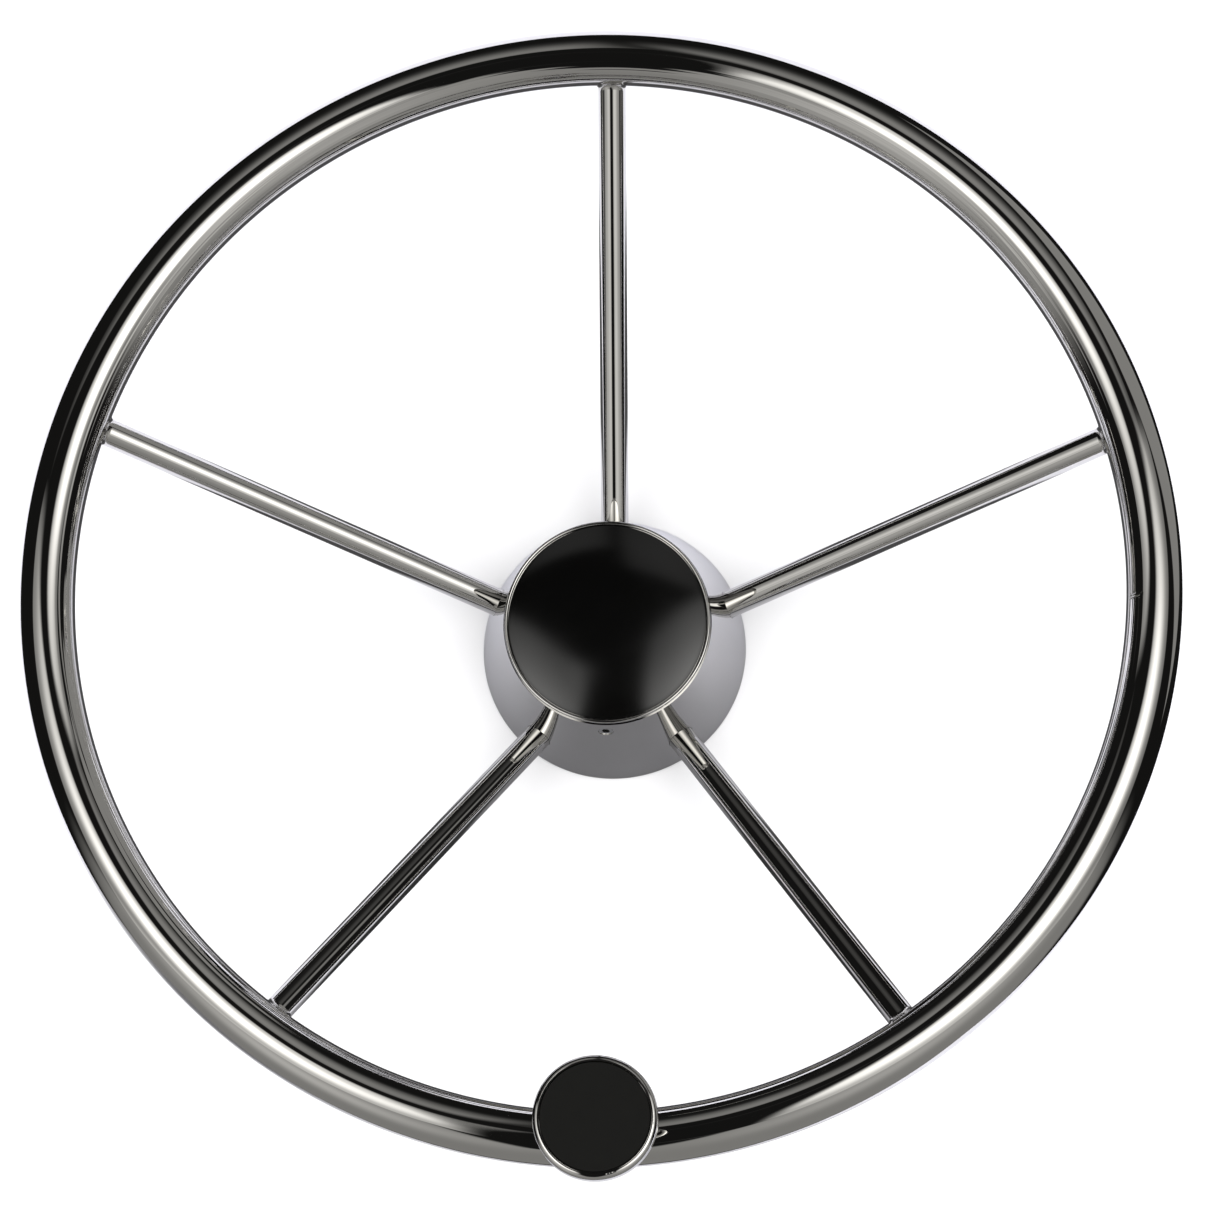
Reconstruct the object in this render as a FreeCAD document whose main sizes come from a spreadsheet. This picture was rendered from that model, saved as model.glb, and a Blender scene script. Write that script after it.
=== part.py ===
"""A five-spoke stainless boat steering wheel with a turning knob and a lift-off hub cap.

The wheel lies on its back. The origin is on the shaft axis, in the back face of the hub. +Z runs along the
shaft towards the person steering, +Y points to the top spoke and +X to the right, seen from the front.
Lengths are millimetres and angles are degrees.
"""

import FreeCAD
import Part

import os
import re

import Sketcher

# Every driving dimension, by the name that the outlines below use. The sheet holds them.
DIMENSIONS = {
    # rim and spokes
    "rim_outer_diameter": 394.0,
    "rim_tube_diameter": 19.05,
    "rim_tube_wall": 1.5,
    "rim_plane_height": 93.0,
    "spoke_count": 5,
    "spoke_diameter": 9.525,
    "spoke_wall": 1.2,
    "spoke_rise_angle": 27.8,
    "top_spoke_angle": 90.0,
    "weld_width": 2.3,
    "weld_reach": 2.6,
    "weld_root": 2.2,
    "hub_weld_width": 1.2,
    "hub_weld_reach": 3.6,
    "hub_weld_root": 3.5,
    "spoke_blank_overrun": 6.0,
    # hub
    "hub_base_radius": 46.0,
    "hub_front_radius": 35.9,
    "hub_cone_height": 43.6,
    "hub_wall": 1.5,
    "hub_base_round": 0.8,
    "spoke_hole_clearance": 0.12,
    "spoke_hole_level": 16.0,
    "spoke_hole_reach": 12.0,
    "boss_flange_radius": 25.0,
    "boss_flange_height": 17.0,
    "boss_barrel_radius": 16.0,
    "boss_height": 30.0,
    "boss_chamfer": 1.0,
    "taper_large_diameter": 19.05,
    "taper_per_length": 0.083333,
    "keyway_width": 4.76,
    "keyway_depth": 2.4,
    "back_plate_thickness": 1.5,
    "hub_weld_gap": 0.05,
    "seat_ring_bottom": 33.6,
    "seat_ring_bore_radius": 32.3,
    # set screw of the cap
    "set_screw_height": 38.6,
    "set_screw_radius": 2.4,
    "set_screw_length": 4.2,
    "set_screw_point_radius": 1.3,
    "set_screw_point_length": 1.1,
    "set_screw_recess": 0.25,
    "set_screw_socket": 2.5,
    "set_screw_socket_depth": 2.2,
    "set_screw_hole_clearance": 0.05,
    "set_screw_lead_in": 0.35,
    # cap
    "bezel_outer_radius": 35.6,
    "bezel_height": 2.4,
    "bezel_lip_radius": 34.3,
    "bezel_crown_radius": 0.66,
    "bezel_seat_gap": 0.05,
    "cap_skirt_radius": 32.0,
    "cap_skirt_wall": 1.0,
    "cap_skirt_depth": 8.0,
    "cap_disc_radius": 34.0,
    "cap_disc_edge": 1.2,
    "cap_disc_rise": 2.4,
    "cap_disc_thickness": 1.8,
    "cap_spigot_wall": 1.6,
    "cap_spigot_depth": 6.0,
    "cap_spigot_gap": 0.1,
    # turning knob, heights counted from the rim's centre plane
    "knob_angle": 271.8,
    "post_foot_radius": 7.0,
    "post_foot_top": 14.0,
    "post_weld_level": 4.5,
    "post_weld_width": 2.4,
    "post_flange_radius": 10.0,
    "post_flange_thickness": 2.0,
    "spindle_radius": 5.0,
    "spindle_top": 36.0,
    "post_thread_radius": 3.0,
    "post_thread_depth": 15.0,
    "washer_clearance": 0.1,
    "thrust_washer_radius": 9.6,
    "thrust_washer_thickness": 1.0,
    "knob_end_play": 0.3,
    "running_clearance": 0.06,
    "bush_outer_radius": 7.2,
    "bush_flange_radius": 9.2,
    "bush_flange_thickness": 1.2,
    "bush_length": 7.5,
    "retaining_washer_radius": 9.0,
    "retaining_washer_thickness": 1.2,
    "retaining_screw_radius": 2.95,
    "retaining_screw_length": 13.0,
    "retaining_head_radius": 5.25,
    "retaining_head_height": 3.0,
    "retaining_head_flat": 2.85,
    "retaining_head_crown": 6.4,
    "retaining_socket": 4.0,
    "retaining_socket_depth": 2.0,
    "knob_neck_radius": 11.0,
    "knob_neck_length": 3.0,
    "knob_neck_chamfer": 0.6,
    "knob_waist_curve": 24.0,
    "knob_belly_curve": 12.0,
    "knob_front_curve": 1.75,
    "knob_radius": 20.7,
    "knob_belly_radius": 17.9,
    "knob_belly_height": 35.0,
    "knob_wide_bottom": 41.5,
    "knob_wide_top": 45.0,
    "knob_top": 47.2,
    "knob_rim_inner_radius": 19.15,
    "knob_groove_depth": 0.5,
    "knob_lip_radius": 18.75,
    "knob_face_radius": 18.5,
    "knob_cavity_radius": 15.5,
    "insert_radius": 18.35,
    "insert_thickness": 2.6,
    "insert_face": 46.9,
    "insert_edge": 0.25,
}

# Lengths worked out from the driving dimensions
RING_RADIUS = "((rim_outer_diameter - rim_tube_diameter) / 2)"
RIM_TUBE_RADIUS = "(rim_tube_diameter / 2)"
SPOKE_RADIUS = "(spoke_diameter / 2)"
SPOKE_PITCH = "(360 / spoke_count)"
CONE_SLOPE = "((hub_base_radius - hub_front_radius) / hub_cone_height)"
CONE_TILT = f"atan({CONE_SLOPE})"
WALL_ACROSS = f"(hub_wall / cos({CONE_TILT}))"

# Which way an arc bends from its first corner to its second
LEFT, RIGHT = 1, -1

SKETCH_ORIGIN = (-1, 1)

doc = FreeCAD.newDocument("boat_steering_wheel")
sheet = doc.addObject("Spreadsheet::Sheet", "Sheet")


def fill_sheet():
    """Writes each dimension as a plain number beside its name, with the name as its alias."""
    for row, (name, size) in enumerate(DIMENSIONS.items(), start=1):
        sheet.set(f"A{row}", name)
        sheet.set(f"B{row}", str(size))
        sheet.setAlias(f"B{row}", name)
    doc.recompute()


def in_sheet(text):
    """The expression with each dimension's name turned into a reference to the sheet."""

    def reference(found):
        return f"Sheet.{found[0]}" if found[0] in DIMENSIONS else found[0]

    return re.sub(r"[a-z_]+", reference, str(text))


def number(text):
    """What an expression comes to with the sheet's present values."""
    return float(sheet.evalExpression(in_sheet(text)))


def cone_radius(height):
    """Outer radius of the hub's cone at a height."""
    return f"(hub_base_radius - {CONE_SLOPE} * ({height}))"


def from_rim_along_spoke(inward, offset):
    """A point in the plane of a spoke: a distance inward along its axis from the rim's centre, and a
    distance square to the axis, on the front side."""
    across = f"{RING_RADIUS} - ({inward}) * cos(spoke_rise_angle) - ({offset}) * sin(spoke_rise_angle)"
    up = f"rim_plane_height - ({inward}) * sin(spoke_rise_angle) + ({offset}) * cos(spoke_rise_angle)"
    return across, up


def spoke_distance(radius):
    """How far along a spoke from the rim's centre the axis reaches a radius of the wheel."""
    return f"(({RING_RADIUS} - ({radius})) / cos(spoke_rise_angle))"


def new_body(label, base=("0", "0", "0"), turn=None):
    """A body with its own name and place. turn is an angle about the shaft axis."""
    body = doc.addObject("PartDesign::Body", label)
    body.Label = label
    for letter, text in zip("xyz", base):
        body.setExpression(f"Placement.Base.{letter}", in_sheet(text))
    if turn is not None:
        body.Placement.Rotation = FreeCAD.Rotation(FreeCAD.Vector(0, 0, 1), 1)
        body.setExpression("Placement.Rotation.Angle", in_sheet(turn))
    return body


def new_sketch(body, name, plane):
    """An empty sketch on one of the body's own origin planes."""
    sketch = body.newObject("Sketcher::SketchObject", name)
    support = next(f for f in body.Origin.OriginFeatures if f.Role == plane)
    sketch.AttachmentSupport = [(support, "")]
    sketch.MapMode = "FlatFace"
    return sketch


def bind(sketch, kind, where, text):
    """Adds a constraint whose value is an expression."""
    index = sketch.addConstraint(Sketcher.Constraint(kind, *where, number(text)))
    sketch.setExpression(f"Constraints[{index}]", in_sheet(text))


def fix_point(sketch, edge, end, across, up):
    """Holds one end of an edge at a place counted from the sketch's origin."""
    for kind, text in (("DistanceX", across), ("DistanceY", up)):
        bind(sketch, kind, (*SKETCH_ORIGIN, edge, end), text)


def add_run(sketch, first, second):
    """A straight run, and which of its ends is first and which is second."""
    edge = sketch.addGeometry(Part.LineSegment(first, second), False)
    return edge, 1, 2


def add_arc(sketch, first, second, radius_text, side):
    """The shorter arc between two points. A sketch's arcs run anticlockwise, so one that bends right is
    stored from its second point to its first."""
    radius = number(radius_text)
    chord = second - first
    square = FreeCAD.Vector(-chord.y, chord.x, 0).normalize() * side
    middle = (first + second) * 0.5
    centre = middle + square * (radius**2 - (chord.Length / 2) ** 2) ** 0.5
    start, stop = (first, second) if side == LEFT else (second, first)
    plain_circle = Part.Circle(centre, FreeCAD.Vector(0, 0, 1), radius)
    arc = Part.ArcOfCircle(plain_circle, plain_circle.parameter(start), plain_circle.parameter(stop))
    edge = sketch.addGeometry(arc, False)
    bind(sketch, "Radius", (edge,), radius_text)
    return (edge, 1, 2) if side == LEFT else (edge, 2, 1)


def draw_outline(sketch, corners):
    """A closed outline. A corner is (across, up), or (across, up, radius, side) when an arc leads from it
    to the next one."""
    points = [FreeCAD.Vector(number(corner[0]), number(corner[1]), 0) for corner in corners]
    following = points[1:] + points[:1]
    edges = []
    for corner, first, second in zip(corners, points, following):
        if len(corner) == 4:
            edges.append(add_arc(sketch, first, second, corner[2], corner[3]))
        else:
            edges.append(add_run(sketch, first, second))
    for (edge, _, last_end), (next_edge, first_end, _) in zip(edges, edges[1:] + edges[:1]):
        sketch.addConstraint(Sketcher.Constraint("Coincident", edge, last_end, next_edge, first_end))
    for (edge, first_end, _), corner in zip(edges, corners):
        fix_point(sketch, edge, first_end, corner[0], corner[1])


def draw_circle(sketch, across, up, radius):
    centre = FreeCAD.Vector(number(across), number(up), 0)
    round_edge = Part.Circle(centre, FreeCAD.Vector(0, 0, 1), number(radius))
    edge = sketch.addGeometry(round_edge, False)
    fix_point(sketch, edge, 3, across, up)
    bind(sketch, "Radius", (edge,), radius)


def draw_axis(sketch, first, second):
    """A construction line between two points, to turn an outline about."""
    ends = [FreeCAD.Vector(number(across), number(up), 0) for across, up in (first, second)]
    edge = sketch.addGeometry(Part.LineSegment(*ends), True)
    fix_point(sketch, edge, 1, *first)
    fix_point(sketch, edge, 2, *second)


def turned(body, kind, name, outlines=(), circles=(), axis=None):
    """Turns outlines and circles about the body's upright axis, or about a line between two points."""
    sketch = new_sketch(body, f"{name}_section", "XZ_Plane")
    for corners in outlines:
        draw_outline(sketch, corners)
    for circle in circles:
        draw_circle(sketch, *circle)
    if axis:
        draw_axis(sketch, *axis)
    feature = body.newObject(f"PartDesign::{kind}", name)
    feature.Profile = sketch
    feature.ReferenceAxis = (sketch, ["Axis0" if axis else "V_Axis"])
    feature.Angle = 360
    doc.recompute()
    return feature


def solid_of(body, name, *outlines, **options):
    return turned(body, "Revolution", f"{body.Name}_{name}", outlines, **options)


def cut_from(body, name, *outlines, **options):
    """Turns outlines about an axis and takes them out of the body, which has to lose volume."""
    before = body.Shape.Volume
    feature = turned(body, "Groove", f"{body.Name}_{name}", outlines, **options)
    check_it_cut(feature, before)
    return feature


def check_it_cut(feature, before):
    if not feature.Shape.Volume < before - 1e-3:
        raise ValueError(f"{feature.Name} takes nothing away")


def repeat_round_hub(body, name, features):
    """Repeats features at every spoke, or the whole body if none are named."""
    pattern = body.newObject("PartDesign::PolarPattern", f"{body.Name}_{name}")
    if features:
        pattern.Originals = features
    else:
        pattern.TransformMode = "Whole shape"
    upright = next(f for f in body.Origin.OriginFeatures if f.Role == "Z_Axis")
    pattern.Axis = (upright, [""])
    pattern.Angle = 360
    pattern.setExpression("Occurrences", "Sheet.spoke_count")
    body.Tip = pattern
    doc.recompute()


def pocket_from_plane(body, name, corners, depth, start="0", through=False):
    """Cuts an outline upwards from a level of the body, to a depth or right through."""
    before = body.Shape.Volume
    sketch = new_sketch(body, f"{body.Name}_{name}_outline", "XY_Plane")
    sketch.setExpression("AttachmentOffset.Base.z", in_sheet(start))
    draw_outline(sketch, corners)
    pocket = body.newObject("PartDesign::Pocket", f"{body.Name}_{name}")
    pocket.Profile = sketch
    pocket.Reversed = True
    if through:
        pocket.Type = "ThroughAll"
    else:
        pocket.setExpression("Length", in_sheet(depth))
    doc.recompute()
    check_it_cut(pocket, before)


def hexagon(across_flats):
    """The corners of a regular hexagon, given its width across flats."""
    corner = f"({across_flats} / 2 / cos(30))"
    return [(f"{corner} * cos({60 * k})", f"{corner} * sin({60 * k})") for k in range(6)]


def rectangle(left, right, bottom, top):
    return [(left, bottom), (right, bottom), (right, top), (left, top)]


def box_along_spoke(near, far, low, high):
    """A rectangle in the plane of a spoke, from one distance inward to another."""
    ends = ((near, low), (near, high), (far, high), (far, low))
    return [from_rim_along_spoke(inward, offset) for inward, offset in ends]


def along_set_screw(inward, offset):
    """A point in the set screw's plane: a distance in from the cone's surface along the screw's axis,
    and a distance square to it. The screw is square to the cone, opposite the top spoke."""
    surface = cone_radius("set_screw_height")
    across = f"({inward}) * cos({CONE_TILT}) - ({offset}) * sin({CONE_TILT}) - {surface}"
    up = f"set_screw_height - ({inward}) * sin({CONE_TILT}) - ({offset}) * cos({CONE_TILT})"
    return across, up


def screw_bore(near, far, radius):
    return [
        along_set_screw(near, "0"),
        along_set_screw(far, "0"),
        along_set_screw(far, radius),
        along_set_screw(near, radius),
    ]


SPOKE_AXIS = (from_rim_along_spoke("0", "0"), from_rim_along_spoke("100", "0"))
SET_SCREW_AXIS = (along_set_screw("0", "0"), along_set_screw("10", "0"))
RIM_SECTION = (RING_RADIUS, "rim_plane_height", RIM_TUBE_RADIUS)


def make_rim_tube():
    """The hand rim: one round tube bent into a ring and welded shut."""
    body = new_body("rim_tube")
    bore = (RING_RADIUS, "rim_plane_height", f"{RIM_TUBE_RADIUS} - rim_tube_wall")
    solid_of(body, "ring", circles=(RIM_SECTION, bore))
    return body


def make_spoke(label, position):
    """A straight tube from the boss to the rim, its ends cut to fit both."""
    body = new_body(label, turn=f"top_spoke_angle + {position} * {SPOKE_PITCH}")
    inner_end = spoke_distance("boss_flange_radius - spoke_blank_overrun")
    wall = box_along_spoke("0", inner_end, f"{SPOKE_RADIUS} - spoke_wall", SPOKE_RADIUS)
    solid_of(body, "tube", wall, axis=SPOKE_AXIS)
    cut_from(body, "rim_end", circles=(RIM_SECTION,))
    cut_from(body, "boss_end", rectangle("0", "boss_flange_radius", "-10", "boss_height"))
    return body


def make_rim_welds():
    """The fillets where the spokes meet the rim: a short cone round each spoke, hollowed by both tubes."""
    body = new_body("rim_weld_beads", turn="top_spoke_angle")
    root = f"{RIM_TUBE_RADIUS} - weld_root"
    fillet = [
        from_rim_along_spoke(root, SPOKE_RADIUS),
        from_rim_along_spoke(f"{RIM_TUBE_RADIUS} + weld_reach", SPOKE_RADIUS),
        from_rim_along_spoke(root, f"{SPOKE_RADIUS} + weld_width"),
    ]
    solid_of(body, "fillet", fillet, axis=SPOKE_AXIS)
    cut_from(body, "rim_side", circles=(RIM_SECTION,))
    repeat_round_hub(body, "all", None)
    return body


def make_hub_welds():
    """The fillets where the spokes meet the boss, inside the hub, dressed flat above the back plate."""
    body = new_body("hub_weld_beads", turn="top_spoke_angle")
    joint = spoke_distance("boss_flange_radius")
    root = f"{joint} + hub_weld_root"
    fillet = [
        from_rim_along_spoke(root, SPOKE_RADIUS),
        from_rim_along_spoke(f"{joint} - hub_weld_reach", SPOKE_RADIUS),
        from_rim_along_spoke(root, f"{SPOKE_RADIUS} + hub_weld_width"),
    ]
    solid_of(body, "fillet", fillet, axis=SPOKE_AXIS)
    cut_from(body, "boss_side", rectangle("0", "boss_flange_radius", "-10", "boss_height"))
    plate_side = rectangle("0", "hub_base_radius", "-10", "back_plate_thickness + hub_weld_gap")
    cut_from(body, "plate_side", plate_side)
    repeat_round_hub(body, "all", None)
    return body


def make_hub_shroud():
    """The polished cone round the hub, with a hole for each spoke and one for the cap's set screw."""
    body = new_body("hub_shroud", turn="top_spoke_angle")
    base_inner = f"hub_base_radius - {WALL_ACROSS}"
    front_inner = f"hub_front_radius - {WALL_ACROSS}"
    wall = [
        (base_inner, "0"),
        ("hub_base_radius - hub_base_round", "0", "hub_base_round", LEFT),
        (cone_radius("hub_base_round"), "hub_base_round"),
        ("hub_front_radius", "hub_cone_height"),
        (front_inner, "hub_cone_height"),
    ]
    solid_of(body, "wall", wall)
    centre = spoke_distance(cone_radius("spoke_hole_level"))
    near, far = f"{centre} - spoke_hole_reach", f"{centre} + spoke_hole_reach"
    hole = box_along_spoke(near, far, "0", f"{SPOKE_RADIUS} + spoke_hole_clearance")
    hole_cut = cut_from(body, "spoke_hole", hole, axis=SPOKE_AXIS)
    repeat_round_hub(body, "spoke_holes", [hole_cut])
    bore = screw_bore("-hub_wall", "2 * hub_wall", "set_screw_radius + set_screw_hole_clearance")
    mouth = screw_bore("-hub_wall", "set_screw_lead_in", "set_screw_radius + set_screw_lead_in")
    cut_from(body, "set_screw_hole", bore, axis=SET_SCREW_AXIS)
    cut_from(body, "set_screw_mouth", mouth, axis=SET_SCREW_AXIS)
    return body


def make_hub_boss():
    """The turned boss that fits the helm's tapered shaft: a flange that the spokes butt against, and a
    barrel whose front end takes the shaft nut."""
    body = new_body("hub_boss")
    large = "taper_large_diameter / 2"
    small = f"{large} - boss_height * taper_per_length / 2"
    turned_section = [
        (large, "0"),
        ("boss_flange_radius", "0"),
        ("boss_flange_radius", "boss_flange_height - boss_chamfer"),
        ("boss_flange_radius - boss_chamfer", "boss_flange_height"),
        ("boss_barrel_radius", "boss_flange_height"),
        ("boss_barrel_radius", "boss_height - boss_chamfer"),
        ("boss_barrel_radius - boss_chamfer", "boss_height"),
        (small, "boss_height"),
    ]
    solid_of(body, "turning", turned_section)
    keyway = rectangle("-keyway_width / 2", "keyway_width / 2", "0", f"{large} + keyway_depth")
    pocket_from_plane(body, "keyway", keyway, None, through=True)
    return body


def make_back_plate():
    """The flat ring that closes the back of the hub between the boss and the cone."""
    body = new_body("hub_back_plate")
    inner_wall = f"hub_base_radius - {WALL_ACROSS}"
    plate = [
        ("boss_flange_radius", "0"),
        (inner_wall, "0"),
        (f"{inner_wall} - {CONE_SLOPE} * back_plate_thickness", "back_plate_thickness"),
        ("boss_flange_radius", "back_plate_thickness"),
    ]
    solid_of(body, "plate", plate)
    return body


def make_seat_ring():
    """The ring inside the mouth of the cone, which guides the cap's skirt and holds its set screw."""
    body = new_body("cap_seat_ring", turn="top_spoke_angle")
    ring = [
        ("seat_ring_bore_radius", "seat_ring_bottom"),
        (f"{cone_radius('seat_ring_bottom')} - {WALL_ACROSS}", "seat_ring_bottom"),
        (f"hub_front_radius - {WALL_ACROSS}", "hub_cone_height"),
        ("seat_ring_bore_radius", "hub_cone_height"),
    ]
    solid_of(body, "ring", ring)
    bore = screw_bore("0", "2 * set_screw_length", "set_screw_radius + set_screw_hole_clearance")
    cut_from(body, "set_screw_hole", bore, axis=SET_SCREW_AXIS)
    return body


def make_set_screw():
    """A socket set screw with a short cone point, drawn with its axis upright and its point down."""
    across, up = along_set_screw("set_screw_recess", "0")
    body = new_body("cap_set_screw", base=("0", across, up))
    body.Placement.Rotation = FreeCAD.Rotation(FreeCAD.Vector(1, 0, 0), 1)
    body.setExpression("Placement.Rotation.Angle", in_sheet(f"90 deg - {CONE_TILT}"))
    side = [
        ("0", "-set_screw_length"),
        ("set_screw_point_radius", "-set_screw_length"),
        ("set_screw_radius", "set_screw_point_length - set_screw_length"),
        ("set_screw_radius", "0"),
        ("0", "0"),
    ]
    solid_of(body, "shank", side)
    socket_floor = "-set_screw_socket_depth"
    pocket_from_plane(body, "socket", hexagon("set_screw_socket"), "set_screw_socket_depth", socket_floor)
    return body


def make_cap_bezel():
    """The bright cup that carries the black cap: a rounded ring on the cone's front edge and a skirt that
    slides into the seat ring."""
    body = new_body("cap_bezel", base=("0", "0", "hub_cone_height"))
    crown_base = "bezel_height - bezel_crown_radius"
    section = [
        ("cap_skirt_radius - cap_skirt_wall", "-cap_skirt_depth"),
        ("cap_skirt_radius", "-cap_skirt_depth"),
        ("cap_skirt_radius", "bezel_seat_gap"),
        ("bezel_outer_radius", "bezel_seat_gap"),
        ("bezel_outer_radius", crown_base, "bezel_crown_radius", LEFT),
        ("bezel_lip_radius", crown_base),
        ("bezel_lip_radius", "cap_disc_thickness / 2"),
        ("cap_skirt_radius - cap_skirt_wall", "cap_disc_thickness / 2"),
    ]
    solid_of(body, "cup", section)
    return body


def make_cap_disc():
    """The black centre cap: a gently domed disc with a spigot that grips the inside of the skirt."""
    body = new_body("cap_disc", base=("0", "0", "hub_cone_height"))
    seat = "cap_disc_thickness / 2"
    edge_top = f"{seat} + cap_disc_edge"
    dome = "((cap_disc_radius ^ 2 + cap_disc_rise ^ 2) / 2 / cap_disc_rise)"
    spigot = "cap_skirt_radius - cap_skirt_wall - cap_spigot_gap"
    inner_dome = f"({dome} - cap_disc_thickness)"
    hollow = f"({spigot} - cap_spigot_wall)"
    hollow_top = f"({edge_top} + cap_disc_rise - {dome} + ({inner_dome} ^ 2 - {hollow} ^ 2) ^ 0.5)"
    section = [
        ("0", f"{edge_top} + cap_disc_rise - cap_disc_thickness", inner_dome, RIGHT),
        (hollow, hollow_top),
        (hollow, "-cap_spigot_depth"),
        (spigot, "-cap_spigot_depth"),
        (spigot, seat),
        ("cap_disc_radius", seat),
        ("cap_disc_radius", edge_top, dome, LEFT),
        ("0", f"{edge_top} + cap_disc_rise"),
    ]
    solid_of(body, "disc", section)
    return body


def knob_body(label):
    """A body on the knob's axis, at the bottom of the rim, with its zero height in the rim's plane and
    its own X axis pointing straight out from the wheel."""
    across = f"{RING_RADIUS} * cos(knob_angle)"
    up_the_wheel = f"{RING_RADIUS} * sin(knob_angle)"
    return new_body(label, base=(across, up_the_wheel, "rim_plane_height"), turn="knob_angle")


WHEEL_AXIS_FROM_KNOB = ((f"-{RING_RADIUS}", "0"), (f"-{RING_RADIUS}", "10"))
RIM_SECTION_AT_KNOB = ("0", "0", RIM_TUBE_RADIUS)


def make_knob_post():
    """The turned post that the knob spins on, its foot cut to sit on the rim tube."""
    body = knob_body("knob_post")
    flange_top = "post_foot_top + post_flange_thickness"
    section = [
        ("0", "0"),
        ("post_foot_radius", "0"),
        ("post_foot_radius", "post_foot_top"),
        ("post_flange_radius", "post_foot_top"),
        ("post_flange_radius", flange_top),
        ("spindle_radius", flange_top),
        ("spindle_radius", "spindle_top"),
        ("0", "spindle_top"),
    ]
    solid_of(body, "turning", section)
    tapped = rectangle("0", "post_thread_radius", "spindle_top - post_thread_depth", "spindle_top + 1")
    cut_from(body, "tapped_hole", tapped)
    cut_from(body, "rim_seat", circles=(RIM_SECTION_AT_KNOB,), axis=WHEEL_AXIS_FROM_KNOB)
    return body


def make_knob_post_weld():
    """The fillet round the foot of the knob's post."""
    body = knob_body("knob_post_weld")
    fillet = [
        ("post_foot_radius", "post_weld_level"),
        ("post_foot_radius + post_weld_width", "post_weld_level"),
        ("post_foot_radius", f"{RIM_TUBE_RADIUS} + weld_reach"),
    ]
    solid_of(body, "fillet", fillet)
    cut_from(body, "rim_side", circles=(RIM_SECTION_AT_KNOB,), axis=WHEEL_AXIS_FROM_KNOB)
    return body


THRUST_LEVEL = "(post_foot_top + post_flange_thickness)"
KNOB_BOTTOM = f"({THRUST_LEVEL} + thrust_washer_thickness + knob_end_play)"
BUSH_TOP = "(spindle_top - knob_end_play)"


def make_ring(label, inner, outer, bottom, top):
    """A plain flat ring on the knob's axis."""
    body = knob_body(label)
    solid_of(body, "ring", rectangle(inner, outer, bottom, top))
    return body


def make_thrust_washer():
    top = f"{THRUST_LEVEL} + thrust_washer_thickness"
    return make_ring(
        "knob_thrust_washer", "spindle_radius + washer_clearance", "thrust_washer_radius", THRUST_LEVEL, top
    )


def make_retaining_washer():
    top = "spindle_top + retaining_washer_thickness"
    bore = "retaining_screw_radius + washer_clearance"
    return make_ring("knob_retaining_washer", bore, "retaining_washer_radius", "spindle_top", top)


def make_bush(label, flange_level, direction):
    """A flanged bearing bush. The flange is outermost and the sleeve reaches into the knob."""
    body = knob_body(label)
    flange_end = f"{flange_level} + {direction} * bush_flange_thickness"
    sleeve_end = f"{flange_level} + {direction} * bush_length"
    bore = "spindle_radius + running_clearance"
    section = [
        (bore, flange_level),
        ("bush_flange_radius", flange_level),
        ("bush_flange_radius", flange_end),
        ("bush_outer_radius", flange_end),
        ("bush_outer_radius", sleeve_end),
        (bore, sleeve_end),
    ]
    solid_of(body, "bush", section)
    return body


def make_retaining_screw():
    """The button-head screw that keeps the knob on its spindle."""
    body = knob_body("knob_retaining_screw")
    seat = "(spindle_top + retaining_washer_thickness)"
    head_top = f"{seat} + retaining_head_height"
    section = [
        ("0", f"{seat} - retaining_screw_length"),
        ("retaining_screw_radius", f"{seat} - retaining_screw_length"),
        ("retaining_screw_radius", seat),
        ("retaining_head_radius", seat, "retaining_head_crown", LEFT),
        ("retaining_head_flat", head_top),
        ("0", head_top),
    ]
    solid_of(body, "screw", section)
    socket_floor = f"{head_top} - retaining_socket_depth"
    pocket_from_plane(body, "socket", hexagon("retaining_socket"), "retaining_socket_depth", socket_floor)
    return body


def make_knob_shell():
    """The bright knob: a waisted body with a rounded front ring, bored for the bushes and recessed for
    the black insert."""
    body = knob_body("knob_shell")
    lower_flange = f"{KNOB_BOTTOM} + bush_flange_thickness"
    upper_flange = f"{BUSH_TOP} - bush_flange_thickness"
    insert_floor = "insert_face - insert_thickness"
    section = [
        ("bush_outer_radius", lower_flange),
        ("bush_flange_radius", lower_flange),
        ("bush_flange_radius", KNOB_BOTTOM),
        ("knob_neck_radius - knob_neck_chamfer", KNOB_BOTTOM),
        ("knob_neck_radius", f"{KNOB_BOTTOM} + knob_neck_chamfer"),
        ("knob_neck_radius", f"{KNOB_BOTTOM} + knob_neck_length", "knob_waist_curve", RIGHT),
        ("knob_belly_radius", "knob_belly_height", "knob_belly_curve", LEFT),
        ("knob_radius", "knob_wide_bottom"),
        ("knob_radius", "knob_wide_top", "knob_front_curve", LEFT),
        ("knob_rim_inner_radius", "knob_top - 0.2"),
        ("knob_rim_inner_radius", "knob_top - knob_groove_depth"),
        ("knob_lip_radius", "knob_top - knob_groove_depth"),
        ("knob_lip_radius", "knob_top"),
        ("knob_face_radius", "knob_top"),
        ("knob_face_radius", insert_floor),
        ("knob_cavity_radius", insert_floor),
        ("knob_cavity_radius", upper_flange),
        ("bush_outer_radius", upper_flange),
    ]
    solid_of(body, "turning", section)
    return body


def make_knob_insert():
    """The flat black disc that closes the front of the knob."""
    body = knob_body("knob_insert")
    section = [
        ("0", "insert_face - insert_thickness"),
        ("insert_radius", "insert_face - insert_thickness"),
        ("insert_radius", "insert_face - insert_edge"),
        ("insert_radius - insert_edge", "insert_face"),
        ("0", "insert_face"),
    ]
    solid_of(body, "disc", section)
    return body


SPOKE_NAMES = (
    "spoke_top",
    "spoke_upper_left",
    "spoke_lower_left",
    "spoke_lower_right",
    "spoke_upper_right",
)


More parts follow.
